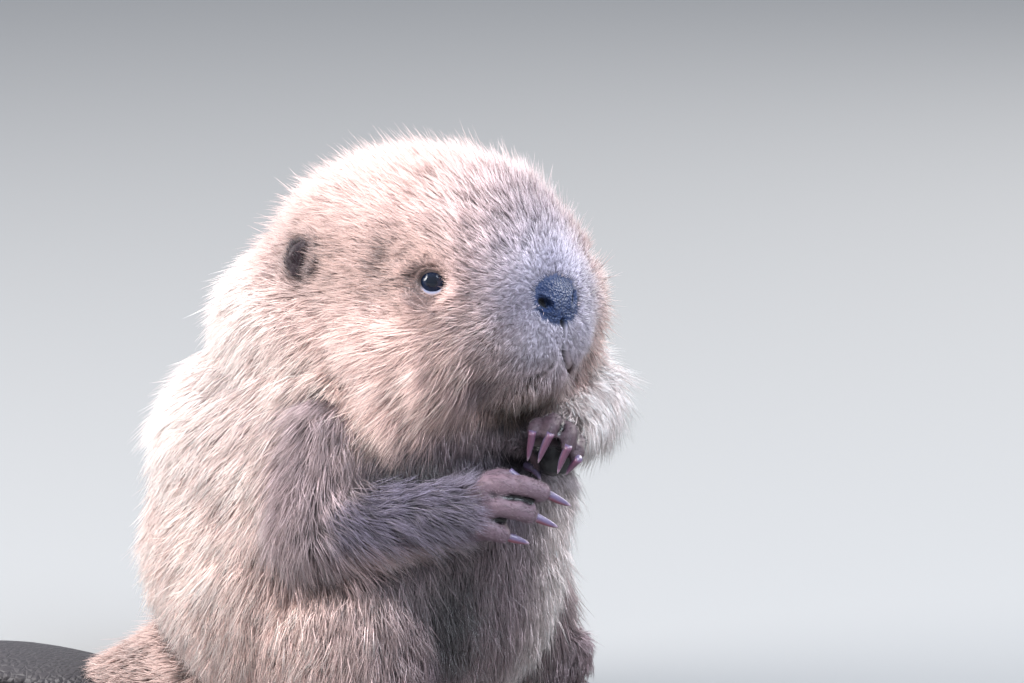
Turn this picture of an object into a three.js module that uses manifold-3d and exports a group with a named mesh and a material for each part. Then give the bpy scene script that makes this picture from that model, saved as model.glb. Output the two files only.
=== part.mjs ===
// A beaver kit, life size, sitting upright on its haunches with both hands held up before its chest.
// Millimetres, +Z up. The kit faces -Y, its right side is -X, and it rests on the plane z = 0.
// Every solid reaches out to the tips of the coat, so the outline is that of the furred animal.

import * as THREE from 'three';
import { mergeVertices } from 'three/addons/utils/BufferGeometryUtils.js';
import Module from 'manifold-3d';

const wasm = await Module();
wasm.setup();

// ---------------------------------------------------------------- driving dimensions

const GAP = 0.3;                 // clear space left between two neighbouring solids
const SEAM = GAP / 2;            // what each side of a straight cut gives up

const HEAD_CENTRE = new THREE.Vector3(0, -32, 170);
const HEAD_TURN = THREE.MathUtils.degToRad(-8);      // the face is turned a little to its right
const HALF_HEAD = new THREE.Vector3(50, 58, 45);     // half width, half length, half height of the skull
const MUZZLE_FRONT = 65;         // from the middle of the head to the front of the lips
const EYE_RADIUS = 6.2;
const EYE_SPOT = new THREE.Vector3(32.5, -31.5, 6.5);
const EYE_AXIS = new THREE.Vector3(0.83, -0.55, 0.1).normalize();
const DISH_RADIUS = 9.5;         // the dish of short fur that an eye lies in
const DISH_AHEAD = 12;           // how far the dish's middle is before the eye's
const EAR_SPOT = new THREE.Vector3(46.5, 17, 9);

const HALF_TRUNK = new THREE.Vector3(67, 85, 70);    // half width, half length, half height of the barrel
const TRUNK_HEIGHT = 66;         // height of the barrel's middle over the floor

const HAND_YAW = THREE.MathUtils.degToRad(-55);      // both hands are set along this line across the chest
const CLAW_RADIUS = 1.7;
const HAND_RADIUS = { right: 4.2, left: 3.1 };       // of a finger; the curled hand's look slimmer
const THUMB_SLIMMER = 0.9;

const FOOT_LENGTH = 74;          // heel to the tip of the longest toe
const FOOT_SPLAY = THREE.MathUtils.degToRad(10);
const TAIL_LENGTH = 96;          // the scaly paddle alone
const TAIL_HALF_WIDTH = 23;
const TAIL_HALF_DEPTH = 5;

// ---------------------------------------------------------------- materials

const finish = (color, roughness) => new THREE.MeshStandardMaterial({ color, roughness, metalness: 0 });
const FUR = finish(0xb99a86, 0.95);
const PALE_FUR = finish(0xd2b7a2, 0.95);
const BARE_SKIN = finish(0x8a747a, 0.7);
const NOSE_SKIN = finish(0x2f3440, 0.45);
const TAIL_SKIN = finish(0x4a4346, 0.6);
const EAR_SKIN = finish(0x5a4146, 0.85);
const EYE_GLOSS = finish(0x120f12, 0.08);
const CLAW_HORN = finish(0xb9aec8, 0.35);

// ---------------------------------------------------------------- soft forms

const vec = (x, y, z) => new THREE.Vector3(x, y, z);

/** A rounded lump: how far a point lies outside an ellipsoid that may be turned about Z. */
function lump(centre, radii, turn = 0) {
  const axis = vec(0, 0, 1);
  return (point) => {
    const p = point.clone().sub(centre).applyAxisAngle(axis, -turn);
    const near = p.clone().divide(radii);
    const steep = near.clone().divide(radii).length();
    const size = near.length();
    return steep < 1e-9 ? -Math.min(radii.x, radii.y, radii.z) : (size * (size - 1)) / steep;
  };
}

/** A limb: how far a point lies outside a round bar whose radius changes from one end to the other. */
function limb(start, end, startRadius, endRadius) {
  const along = end.clone().sub(start);
  return (point) => {
    const p = point.clone().sub(start);
    const t = THREE.MathUtils.clamp(p.dot(along) / along.lengthSq(), 0, 1);
    return p.addScaledVector(along, -t).length() - THREE.MathUtils.lerp(startRadius, endRadius, t);
  };
}

/** Several forms melted into one; softness is about how wide the joins are. */
function melt(forms, softness) {
  return (point) => {
    let sum = 0;
    for (const form of forms) {
      sum += Math.exp(-form(point) / softness);
    }
    return -softness * Math.log(sum);
  };
}

/** A form with a soft hollow pressed into it. */
function hollowed(form, dent, softness) {
  return (point) => {
    const sum = Math.exp(form(point) / softness) + Math.exp(-dent(point) / softness);
    return softness * Math.log(sum);
  };
}

/** The same form standing on the floor: nothing of it lies below z = 0. */
const floored = (form) => (point) => Math.max(form(point), -point.z);

/** The surface of a form as seen from a point inside it, out to an ellipsoid of half sizes reach. */
function blob(form, centre, reach, detail, grow = 0) {
  const STEPS = 28;
  const HALVINGS = 22;
  const geometry = new THREE.IcosahedronGeometry(1, detail);
  const spots = geometry.attributes.position;
  const ray = new THREE.Vector3();
  const outside = (t) => form(centre.clone().addScaledVector(ray, t)) > grow;
  for (let i = 0; i < spots.count; i += 1) {
    ray.fromBufferAttribute(spots, i).normalize().multiply(reach);
    let near = 0;
    let far = 1;
    for (let step = 1; step <= STEPS; step += 1) {
      if (outside(step / STEPS)) {
        far = step / STEPS;
        break;
      }
      near = step / STEPS;
    }
    for (let k = 0; k < HALVINGS && near < far; k += 1) {
      const middle = (near + far) / 2;
      if (outside(middle)) {
        far = middle;
      } else {
        near = middle;
      }
    }
    const spot = centre.clone().addScaledVector(ray, near);
    spots.setXYZ(i, spot.x, spot.y, Math.abs(spot.z) < 0.01 ? 0 : spot.z);
  }
  return solid(geometry);
}

/** A round bar along a smooth curve, with a radius for each of its points and rounded ends. */
function horn(points, radii, sides, rings, grow = 0) {
  const curve = new THREE.CatmullRomCurve3(points);
  const frames = curve.computeFrenetFrames(rings, false);
  const positions = [];
  const indices = [];
  const radiusAt = (t) => {
    const place = t * (radii.length - 1);
    const first = Math.min(Math.floor(place), radii.length - 2);
    return THREE.MathUtils.lerp(radii[first], radii[first + 1], place - first) + grow;
  };
  const addPole = (point, tangent, length) => {
    positions.push(...point.clone().addScaledVector(tangent, length).toArray());
  };
  addPole(curve.getPoint(0), frames.tangents[0], -radiusAt(0) * 0.6);
  for (let ring = 0; ring <= rings; ring += 1) {
    const middle = curve.getPointAt(ring / rings);
    for (let side = 0; side < sides; side += 1) {
      const angle = (side / sides) * Math.PI * 2;
      const spoke = frames.normals[ring].clone().multiplyScalar(Math.cos(angle))
        .addScaledVector(frames.binormals[ring], Math.sin(angle));
      positions.push(...middle.clone().addScaledVector(spoke, radiusAt(ring / rings)).toArray());
    }
  }
  addPole(curve.getPoint(1), frames.tangents[rings], radiusAt(1) * 0.6);
  const last = positions.length / 3 - 1;
  for (let side = 0; side < sides; side += 1) {
    const next = (side + 1) % sides;
    indices.push(0, 1 + next, 1 + side);
    for (let ring = 0; ring < rings; ring += 1) {
      const a = 1 + ring * sides;
      const b = a + sides;
      indices.push(a + side, a + next, b + next, a + side, b + next, b + side);
    }
    indices.push(last, last - sides + side, last - sides + next);
  }
  const geometry = new THREE.BufferGeometry();
  geometry.setAttribute('position', new THREE.Float32BufferAttribute(positions, 3));
  geometry.setIndex(indices);
  return solid(geometry);
}

// ---------------------------------------------------------------- solids and cuts

/** A closed geometry as a solid that can be joined and cut. */
function solid(geometry) {
  for (const name of ['normal', 'uv']) {
    geometry.deleteAttribute(name);
  }
  const merged = mergeVertices(geometry);
  return new wasm.Manifold(new wasm.Mesh({
    numProp: 3,
    vertProperties: new Float32Array(merged.attributes.position.array),
    triVerts: new Uint32Array(merged.index.array),
  }));
}

/** A solid as a geometry again. */
function shapeOf(body) {
  const mesh = body.getMesh();
  const geometry = new THREE.BufferGeometry();
  geometry.setAttribute('position', new THREE.BufferAttribute(new Float32Array(mesh.vertProperties), 3));
  geometry.setIndex(new THREE.BufferAttribute(new Uint32Array(mesh.triVerts), 1));
  geometry.computeVertexNormals();
  return geometry;
}

const joined = (bodies) => bodies.reduce((whole, body) => whole.add(body));

/** A body with its neighbours cut away: crumbs that the cuts leave loose are dropped. */
function without(body, cutters) {
  const rest = cutters.reduce((left, cutter) => left.subtract(cutter), body);
  return rest.decompose().reduce((biggest, piece) => (piece.volume() > biggest.volume() ? piece : biggest));
}

/** Everything on the lower side of a plane that tilts up towards the back by an angle. */
function below(point, tilt) {
  const SIZE = 400;
  const box = new THREE.BoxGeometry(SIZE, SIZE, SIZE);
  box.translate(0, 0, -SIZE / 2);
  box.rotateX(tilt);
  box.translate(point.x, point.y, point.z);
  return solid(box);
}

/** Everything on the upper side of such a plane. */
function above(point, tilt) {
  return below(point, tilt + Math.PI);
}

// ---------------------------------------------------------------- places

/** A place on the head, given from its middle: x to its left, y to the back, z up. */
const onHead = (spot) => spot.clone().applyAxisAngle(vec(0, 0, 1), HEAD_TURN).add(HEAD_CENTRE);

/** A place given along the line that the hands are set on: x along it, y behind it, z up. */
const onReach = (x, y, z) => vec(x, y, z).applyAxisAngle(vec(0, 0, 1), HAND_YAW);

/** The same place on the other side of the body. */
const mirrored = (spot, side) => vec(spot.x * side, spot.y, spot.z);

const SIDES = [['right', -1], ['left', 1]];

// ---------------------------------------------------------------- head, neck and trunk

const headLump = (x, y, z, radii) => lump(onHead(vec(x, y, z)), radii, HEAD_TURN);

const HEAD_LUMPS = [
  headLump(0, 0, 1, HALF_HEAD),
  headLump(0, 20, 3, vec(43, 41, 36)),
  headLump(0, -25, 9, vec(34, 28, 35)),
  headLump(0, -MUZZLE_FRONT + 22, -13, vec(20, 22, 20)),
  headLump(0, -38, -29, vec(19, 20, 15)),
  headLump(-26, -19, -13, vec(30, 35, 31)),
  headLump(26, -19, -13, vec(30, 35, 31)),
];
const NECK_LUMPS = [
  lump(vec(0, 5, 151), vec(50, 52, 37)),
  lump(vec(-31, -36, 125), vec(23, 26, 22)),
  lump(vec(31, -36, 125), vec(23, 26, 22)),
];
const TRUNK_LUMPS = [
  lump(vec(0, 5, TRUNK_HEIGHT), HALF_TRUNK),
  lump(vec(0, -20, 95), vec(66, 61, 43)),
  lump(vec(0, 14, 107), vec(61, 70, 47)),
];

const CORE = floored(melt([...HEAD_LUMPS, ...NECK_LUMPS, ...TRUNK_LUMPS], 4));

const HEAD_CUT = { point: vec(0, -62, 122), tilt: THREE.MathUtils.degToRad(33) };
const TRUNK_CUT = { point: vec(0, -62, 112), tilt: THREE.MathUtils.degToRad(17) };

/** The point of a cut, moved by some length along the cut's own upward direction. */
function shifted(cut, length) {
  return cut.point.clone().add(vec(0, -Math.sin(cut.tilt), Math.cos(cut.tilt)).multiplyScalar(length));
}

const wholeHead = (grow = 0) => blob(CORE, HEAD_CENTRE, vec(90, 90, 75), 5, grow);
const wholeNeck = (grow = 0) => blob(CORE, vec(0, -8, 142), vec(80, 84, 60), 4, grow);
const wholeTrunk = (grow = 0) => blob(CORE, vec(0, -2, 76), vec(90, 110, 100), 5, grow);

const trunk = () => without(wholeTrunk(), [above(shifted(TRUNK_CUT, -SEAM), TRUNK_CUT.tilt)]);
const neck = () => without(wholeNeck(), [
  below(shifted(TRUNK_CUT, SEAM), TRUNK_CUT.tilt),
  above(shifted(HEAD_CUT, -SEAM), HEAD_CUT.tilt),
]);

/** Head, neck and trunk as one body that stands off by the gap, for cutting what lies against them. */
const core = joined([
  without(wholeTrunk(GAP), [above(shifted(TRUNK_CUT, SEAM), TRUNK_CUT.tilt)]),
  without(wholeNeck(GAP), [
    below(shifted(TRUNK_CUT, -SEAM), TRUNK_CUT.tilt),
    above(shifted(HEAD_CUT, SEAM), HEAD_CUT.tilt),
  ]),
  without(wholeHead(GAP), [below(shifted(HEAD_CUT, -SEAM), HEAD_CUT.tilt)]),
]);

// ---------------------------------------------------------------- nose, eyes and ears

const NOSE_CENTRE = onHead(vec(0, -MUZZLE_FRONT + 8.5, -2));
const noseForm = lump(NOSE_CENTRE, vec(10.5, 9.5, 9), HEAD_TURN);
const nose = (grow = 0) => blob(noseForm, NOSE_CENTRE, vec(14, 14, 14), 2, grow);

function eye(side, grow = 0) {
  const centre = onHead(mirrored(EYE_SPOT, side));
  const radius = EYE_RADIUS + grow;
  return blob(lump(centre, vec(radius, radius, radius)), centre, vec(9, 9, 9), 1);
}

/** The shallow dish in the fur round an eye, where the hairs are short. */
function eyeDish(side) {
  const centre = onHead(EYE_SPOT.clone().addScaledVector(EYE_AXIS, DISH_AHEAD).multiply(vec(side, 1, 1)));
  return blob(lump(centre, vec(DISH_RADIUS, DISH_RADIUS, DISH_RADIUS)), centre, vec(14, 14, 14), 1);
}

/** A small round ear, cupped towards the front and the side. */
function ear(side, grow = 0) {
  const centre = onHead(mirrored(EAR_SPOT, side));
  const turn = HEAD_TURN + side * THREE.MathUtils.degToRad(52);
  const facing = vec(0, -1, 0).applyAxisAngle(vec(0, 0, 1), turn);
  const disc = lump(centre, vec(8.5, 4, 10), turn);
  const bowl = lump(centre.clone().addScaledVector(facing, 3.6), vec(6, 3.4, 7.4), turn);
  const form = grow > 0 ? disc : hollowed(disc, bowl, 0.4);
  return blob(form, centre.clone().addScaledVector(facing, -2), vec(14, 14, 14), 2, grow);
}

const head = () => without(wholeHead(), [
  below(shifted(HEAD_CUT, SEAM), HEAD_CUT.tilt),
  nose(GAP),
  ...SIDES.map(([, side]) => eyeDish(side)),
  ...SIDES.map(([, side]) => eye(side, GAP)),
  ...SIDES.map(([, side]) => ear(side, GAP)),
]);

// ---------------------------------------------------------------- legs

const THIGH_SPOT = vec(42, -22, 45);
const KNEE = vec(52, -52, 28);
const ANKLE = vec(50, -22, 13);

const thighForm = (side) => floored(lump(mirrored(THIGH_SPOT, side), vec(29, 41, 42)));
const wholeThigh = (side, grow = 0) => blob(
  thighForm(side), mirrored(THIGH_SPOT, side), vec(36, 52, 52), 3, grow);
const thigh = (side) => without(wholeThigh(side), [core]);

const shankForm = (side) => floored(limb(mirrored(KNEE, side), mirrored(ANKLE, side), 15, 11));
function wholeShank(side, grow = 0) {
  const middle = mirrored(KNEE, side).lerp(mirrored(ANKLE, side), 0.5);
  return blob(shankForm(side), middle, vec(22, 36, 28), 1, grow);
}
const shank = (side) => without(wholeShank(side), [wholeThigh(side, GAP), core]);

const TOE_COUNT = 5;
const HEEL = vec(49, -12, 0);

/** Where toe number i starts and ends on the foot, from its heel: x outwards, y to the back. */
function toe(i) {
  const spread = (i / (TOE_COUNT - 1)) * 2 - 1;
  const length = FOOT_LENGTH - 9 * spread * spread - 3 * spread;
  return {
    root: vec(spread * 8, -FOOT_LENGTH * 0.48, 7.5),
    tip: vec(spread * 19, -length + 4, 4.2),
  };
}

/** A place on the foot brought to its place under the body. */
const onFoot = (spot, side) => mirrored(
  spot.clone().applyAxisAngle(vec(0, 0, 1), FOOT_SPLAY).add(HEEL), side);

function footForm(side) {
  const forms = [
    limb(onFoot(vec(0, -9, 9), side), onFoot(vec(0, -FOOT_LENGTH * 0.5, 8.5), side), 9.5, 10.5),
    lump(onFoot(vec(0, -FOOT_LENGTH * 0.66, 2.6), side), vec(17, 20, 3.4), FOOT_SPLAY * side),
  ];
  for (let i = 0; i < TOE_COUNT; i += 1) {
    const { root, tip } = toe(i);
    forms.push(limb(onFoot(root, side), onFoot(tip, side), 4.6, 3.6));
  }
  return floored(melt(forms, 1.2));
}
const wholeFoot = (side, grow = 0) => blob(
  footForm(side), onFoot(vec(0, -FOOT_LENGTH * 0.5, 3), side), vec(34, 54, 30), 4, grow);
const foot = (side) => without(wholeFoot(side), [
  wholeShank(side, GAP), wholeThigh(side, GAP), core]);

/** A blunt walking claw at the tip of a hind toe, resting along the floor. */
function hindClaw(side, i) {
  const { root, tip } = toe(i);
  const ahead = tip.clone().sub(root).setZ(0).normalize();
  const place = (length, height) => onFoot(tip.clone().addScaledVector(ahead, length).setZ(height), side);
  const claw = horn([place(0, 5.2), place(6, 4.6), place(11, 2)], [2.3, 2, 0.9], 4, 2);
  return without(claw, [wholeFoot(side, GAP)]);
}

// ---------------------------------------------------------------- arms

const ARMS = {
  right: {
    shoulder: vec(-36, -20, 118),
    elbow: vec(-56, -22, 89),
    wrist: onReach(35, -76, 98.5),
    radii: [26, 22, 11],
  },
  left: {
    shoulder: vec(38, -13, 131),
    elbow: vec(61, -48, 119.5),
    wrist: onReach(72, -38, 121),
    radii: [27, 23.5, 11],
  },
};

function wholeUpperArm(name, grow = 0) {
  const { shoulder, elbow, radii } = ARMS[name];
  const form = limb(shoulder, elbow, radii[0], radii[1]);
  return blob(form, shoulder.clone().lerp(elbow, 0.5), vec(60, 60, 60), 3, grow);
}

function wholeForearm(name, grow = 0) {
  const { elbow, wrist, radii } = ARMS[name];
  const form = limb(elbow, wrist, radii[1], radii[2]);
  return blob(form, elbow.clone().lerp(wrist, 0.4), vec(60, 70, 60), 3, grow);
}

const upperArm = (name, side) => without(wholeUpperArm(name), [wholeThigh(side, GAP), core]);
const forearm = (name, side) => without(wholeForearm(name), [
  wholeUpperArm(name, GAP), wholeThigh(side, GAP), core]);

// Each finger runs from its knuckle over its middle joint to its last joint, and its claw on to the tip.
const HANDS = {
  right: {
    palm: { centre: onReach(42, -77, 97.5), radii: vec(12, 6.5, 11.5) },
    fingers: [
      { bones: [[41, -72, 105], [49, -70, 108.5], [54, -70, 108.5]], tip: [61, -70, 106] },
      { bones: [[44, -77, 106.2], [56, -79, 107.2], [66, -78, 103.7]], tip: [74.3, -77, 99.4] },
      { bones: [[44, -79, 99.2], [53, -81, 99.7], [61.5, -80, 96.2]], tip: [69.8, -79, 92.2] },
      { bones: [[38, -79, 92.7], [45, -81, 92.2], [52, -80, 89.2]], tip: [59.8, -79, 86.4] },
      { bones: [[36, -74, 93], [43, -71, 90], [48, -67, 91]], tip: [53, -66, 95] },
    ],
  },
  left: {
    palm: { centre: onReach(68.5, -52, 115.3), radii: vec(10.5, 8.5, 11) },
    fingers: [
      { bones: [[61, -48, 116.3], [59.5, -50, 112.3], [61, -52, 108.3]], tip: [64, -54, 103.8] },
      { bones: [[64, -55, 123.3], [62, -61, 124.3], [61, -63.5, 121.3]], tip: [59.5, -63, 112.8] },
      { bones: [[69, -55, 125.3], [68, -62, 125.8], [66.5, -65.5, 121.3]], tip: [63.2, -64.5, 112.3] },
      { bones: [[74, -54, 122.3], [74, -62, 121.8], [72.8, -65, 116.8]], tip: [70, -64.5, 108.5] },
      { bones: [[77, -51, 117.3], [77.5, -59, 116.3], [76, -63, 112.3]], tip: [73, -63, 107.8] },
    ],
  },
};

const reachPoint = ([x, y, z]) => onReach(x, y, z);

function wholeHand(name, grow = 0) {
  const { palm, fingers } = HANDS[name];
  const palmForm = lump(palm.centre, palm.radii, HAND_YAW);
  const palmBody = blob(palmForm, palm.centre, vec(16, 16, 16), 1, grow);
  const fingerBodies = fingers.map(({ bones }, i) => {
    const radius = HAND_RADIUS[name] - (i === 0 ? THUMB_SLIMMER : 0);
    return horn(bones.map(reachPoint), [radius, radius, radius - 0.8], 6, 3, grow);
  });
  return joined([palmBody, ...fingerBodies]);
}

const hand = (name) => without(wholeHand(name), [wholeForearm(name, GAP), core]);

/** The long digging claw on a finger: it leaves the last joint and bends down a little. */
function frontClaw(name, i) {
  const { bones, tip } = HANDS[name].fingers[i];
  const root = reachPoint(bones[2]);
  const end = reachPoint(tip);
  const bend = reachPoint(bones[2]).sub(reachPoint(bones[1])).normalize().multiplyScalar(1.6);
  const middle = root.clone().lerp(end, 0.5).add(bend);
  const claw = horn([root, middle, end], [CLAW_RADIUS, CLAW_RADIUS * 0.85, 0.5], 5, 2);
  return without(claw, [wholeHand(name, GAP), core]);
}

// ---------------------------------------------------------------- tail

const tailBaseForm = floored(limb(vec(0, 70, 20), vec(0, 112, 5), 23, 12));
const wholeTailBase = (grow = 0) => blob(tailBaseForm, vec(0, 88, 9), vec(34, 50, 44), 2, grow);
const tailBase = () => without(wholeTailBase(), [core]);

const PADDLE_START = 106;
const alongPaddle = (share) => vec(0, PADDLE_START + TAIL_LENGTH * share, 3);
const paddleForm = floored(melt([
  lump(alongPaddle(0.46), vec(TAIL_HALF_WIDTH, TAIL_LENGTH * 0.46, TAIL_HALF_DEPTH)),
  lump(alongPaddle(0.64), vec(TAIL_HALF_WIDTH - 2, TAIL_LENGTH * 0.33, TAIL_HALF_DEPTH)),
], 1.2));
const paddle = () => without(
  blob(paddleForm, alongPaddle(0.5), vec(36, 62, 10), 3), [wholeTailBase(GAP)]);

// ---------------------------------------------------------------- assembly

const inner = new THREE.Group();

function addPiece(name, body, material) {
  const mesh = new THREE.Mesh(shapeOf(body), material);
  mesh.name = name;
  inner.add(mesh);
}

addPiece('head', head(), PALE_FUR);
addPiece('nose', nose(), NOSE_SKIN);
addPiece('neck', neck(), FUR);
addPiece('trunk', trunk(), FUR);
addPiece('tail_base', tailBase(), FUR);
addPiece('tail_paddle', paddle(), TAIL_SKIN);

for (const [name, side] of SIDES) {
  addPiece(`eye_${name}`, eye(side), EYE_GLOSS);
  addPiece(`ear_${name}`, ear(side), EAR_SKIN);
  addPiece(`upper_arm_${name}`, upperArm(name, side), FUR);
  addPiece(`forearm_${name}`, forearm(name, side), FUR);
  addPiece(`hand_${name}`, hand(name), BARE_SKIN);
  addPiece(`thigh_${name}`, thigh(side), FUR);
  addPiece(`shank_${name}`, shank(side), FUR);
  addPiece(`foot_${name}`, foot(side), BARE_SKIN);
  for (let i = 0; i < TOE_COUNT; i += 1) {
    addPiece(`front_claw_${name}_${i + 1}`, frontClaw(name, i), CLAW_HORN);
    addPiece(`hind_claw_${name}_${i + 1}`, hindClaw(side, i), CLAW_HORN);
  }
}

const whole = new THREE.Box3().setFromObject(inner);
const middle = whole.getCenter(new THREE.Vector3());
inner.position.set(-middle.x, -middle.y, -whole.min.z);

const beaver = new THREE.Group();
beaver.add(inner);

export default beaver;
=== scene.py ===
"""A beaver kit sitting upright: one skin, its coat, eyes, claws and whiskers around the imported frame.

Lengths are in millimetres on the numpy side and in metres in Blender. Places on the head are given
from its middle as (to its left, to the back, up).
"""

import math

import bmesh
import bpy
import numpy as np
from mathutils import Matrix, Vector
from mathutils.bvhtree import BVHTree
from mathutils.kdtree import KDTree


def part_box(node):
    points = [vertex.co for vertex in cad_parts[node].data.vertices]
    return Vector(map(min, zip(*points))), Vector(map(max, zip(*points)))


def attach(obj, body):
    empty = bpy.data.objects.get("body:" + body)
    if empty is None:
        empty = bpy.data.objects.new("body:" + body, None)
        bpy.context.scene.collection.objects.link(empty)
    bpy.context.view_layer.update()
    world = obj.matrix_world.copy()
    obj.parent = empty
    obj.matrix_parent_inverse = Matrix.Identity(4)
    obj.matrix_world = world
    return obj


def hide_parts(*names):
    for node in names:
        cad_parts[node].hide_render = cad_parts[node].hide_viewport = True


MM = 0.001
SIDES = ("right", "left")
UP = np.array([0.0, 0.0, 1.0])

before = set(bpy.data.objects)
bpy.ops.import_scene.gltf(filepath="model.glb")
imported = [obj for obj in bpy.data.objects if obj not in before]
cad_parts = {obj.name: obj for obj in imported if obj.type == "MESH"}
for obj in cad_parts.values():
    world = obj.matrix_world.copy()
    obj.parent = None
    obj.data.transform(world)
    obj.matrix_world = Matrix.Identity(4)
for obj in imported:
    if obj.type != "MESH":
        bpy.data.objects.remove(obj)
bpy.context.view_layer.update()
random = np.random.default_rng(7)


# -------------------- small tools

def unit(vectors):
    """Vectors scaled to length one."""
    length = np.linalg.norm(vectors, axis=-1, keepdims=True)
    return vectors / np.maximum(length, 1e-12)


def step(low, high, values):
    """0 below low and 1 above high, with a soft slope between."""
    t = np.clip((values - low) / (high - low), 0.0, 1.0)
    return t * t * (3.0 - 2.0 * t)


def fade(low, high, values):
    """1 below low and 0 above high."""
    return 1.0 - step(low, high, values)


def mix(a, b, share):
    """a at share 0 and b at share 1."""
    return a + (b - a) * share


def ripple(points, size, seed):
    """Smooth noise between about -1 and 1 whose bumps are about size across."""
    waves = np.random.default_rng(seed)
    total = np.zeros(len(points))
    for _ in range(6):
        wave = unit(waves.normal(size=3)) * (2.0 * math.pi / size) * waves.uniform(0.6, 1.5)
        total += np.sin(points @ wave + waves.uniform(0.0, 2.0 * math.pi))
    return total / 3.0


def middle(node):
    """The middle of a CAD node, in millimetres."""
    low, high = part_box(node)
    return (np.array(low) + np.array(high)) / 2.0 / MM


def colour(code):
    """A colour written as in a paint box, as linear light."""
    parts = np.array([int(code[i:i + 2], 16) for i in (1, 3, 5)]) / 255.0
    return np.where(parts < 0.04045, parts / 12.92, ((parts + 0.055) / 1.055) ** 2.4)


def mesh_of(name, points, faces, material=None, smooth=True):
    """A mesh object from an array of points in millimetres and an array of faces of one size."""
    mesh = bpy.data.meshes.new(name)
    size = faces.shape[1]
    mesh.vertices.add(len(points))
    mesh.vertices.foreach_set("co", (points * MM).astype(np.float32).ravel())
    mesh.loops.add(faces.size)
    mesh.loops.foreach_set("vertex_index", faces.astype(np.int32).ravel())
    mesh.polygons.add(len(faces))
    mesh.polygons.foreach_set("loop_start", np.arange(0, faces.size, size, dtype=np.int32))
    mesh.polygons.foreach_set("use_smooth", np.full(len(faces), smooth))
    mesh.update(calc_edges=True)
    if material:
        mesh.materials.append(material)
    piece = bpy.data.objects.new(name, mesh)
    bpy.context.scene.collection.objects.link(piece)
    return piece


def arrays_of(mesh):
    """The points in millimetres and the faces, as triangles, of a mesh."""
    points = np.empty(len(mesh.vertices) * 3, dtype=np.float32)
    mesh.vertices.foreach_get("co", points)
    mesh.calc_loop_triangles()
    faces = np.empty(len(mesh.loop_triangles) * 3, dtype=np.int32)
    mesh.loop_triangles.foreach_get("vertices", faces)
    return points.reshape(-1, 3).astype(float) / MM, faces.reshape(-1, 3)


def joined(parts):
    """Several pairs of points and faces as one pair."""
    starts = np.cumsum([0] + [len(spots) for spots, _ in parts])
    faces = [sides + start for (_, sides), start in zip(parts, starts)]
    return np.concatenate([spots for spots, _ in parts]), np.concatenate(faces)


def paint(piece, name, values):
    """Stores a number or a colour for each vertex under a name that the materials read."""
    if values.ndim == 1:
        piece.data.attributes.new(name, "FLOAT", "POINT").data.foreach_set("value", values)
        return
    rgba = np.ones((len(values), 4), dtype=np.float32)
    rgba[:, :3] = values
    piece.data.attributes.new(name, "FLOAT_COLOR", "POINT").data.foreach_set("color", rgba.ravel())


def neighbours_of(faces):
    """For every point where its neighbours start in a list, the list, and how many they are."""
    pairs = np.concatenate([faces[:, [0, 1]], faces[:, [1, 2]], faces[:, [2, 0]]])
    pairs = np.unique(np.sort(pairs, axis=1), axis=0)
    pairs = np.concatenate([pairs, pairs[:, ::-1]])
    pairs = pairs[np.argsort(pairs[:, 0], kind="stable")]
    starts = np.flatnonzero(np.diff(pairs[:, 0], prepend=-1))
    return starts, pairs[:, 1], np.diff(np.append(starts, len(pairs)))[:, None]


def relax(values, neighbours, rounds, share=0.5):
    """Values on the vertices, drawn again and again towards the mean of their neighbours."""
    starts, others, degree = neighbours
    flat = values.reshape(len(values), -1).astype(np.float32)
    for _ in range(rounds):
        flat = mix(flat, np.add.reduceat(flat[others], starts, axis=0) / degree, np.float32(share))
    return flat.reshape(values.shape).astype(float)


def normals_of(points, faces):
    """The outward normals at the points."""
    corners = points[faces]
    facing = np.cross(corners[:, 1] - corners[:, 0], corners[:, 2] - corners[:, 0])
    total = np.zeros_like(points)
    for k in range(3):
        for axis in range(3):
            total[:, axis] += np.bincount(faces[:, k], facing[:, axis], len(points))
    return unit(total)


# -------------------- places on the animal

EYES = {side: middle(f"eye_{side}") for side in SIDES}
NOSE = middle("nose")
EYE_LINE = unit(EYES["left"] - EYES["right"])
BACK = unit(np.cross(UP, -EYE_LINE))  # from the nose to the back of the head
BACK = BACK if BACK @ (NOSE - EYES["left"]) < 0 else -BACK
EYE_BACK, EYE_UP = -31.5, 6.5  # where the eyes are from the head's middle
HEAD = (EYES["left"] + EYES["right"]) / 2.0 - EYE_BACK * BACK - EYE_UP * UP
EYE_RADIUS = 6.2
EAR_FRONT = (47.0, 9.0, 9.0)  # just before the opening of the ear


def on_head(left, back, up):
    """A place on the head in the frame."""
    return HEAD + left * EYE_LINE + back * BACK + up * UP


def head_place(points):
    """Places in the frame as (left, back, up) from the middle of the head."""
    away = points - HEAD
    return np.stack([away @ EYE_LINE, away @ BACK, away[:, 2]], axis=1)


def eye_axis(side):
    """The way an eye looks out."""
    turn = 1.0 if side == "left" else -1.0
    return unit(turn * 0.83 * EYE_LINE - 0.55 * BACK + 0.1 * UP)


# -------------------- the skin's shape

PARTS = ("eye", "ear", "upper_arm", "forearm", "hand", "thigh", "shank", "foot")
FLESH = ["head", "nose", "neck", "trunk", "tail_base", "tail_paddle"]
FLESH += [f"{part}_{side}" for side in SIDES for part in PARTS]

GROWTH = 0.45  # how far each solid is grown so that neighbours run together
VOXEL = 0.9  # the grain of the joined skin
# Where the grain is halved, and how far round.
FINE_SPOTS = [(EYES["right"], 13.0), (EYES["left"], 13.0), (NOSE, 15.0), (on_head(0, -56, -22), 13.0)]


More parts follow.
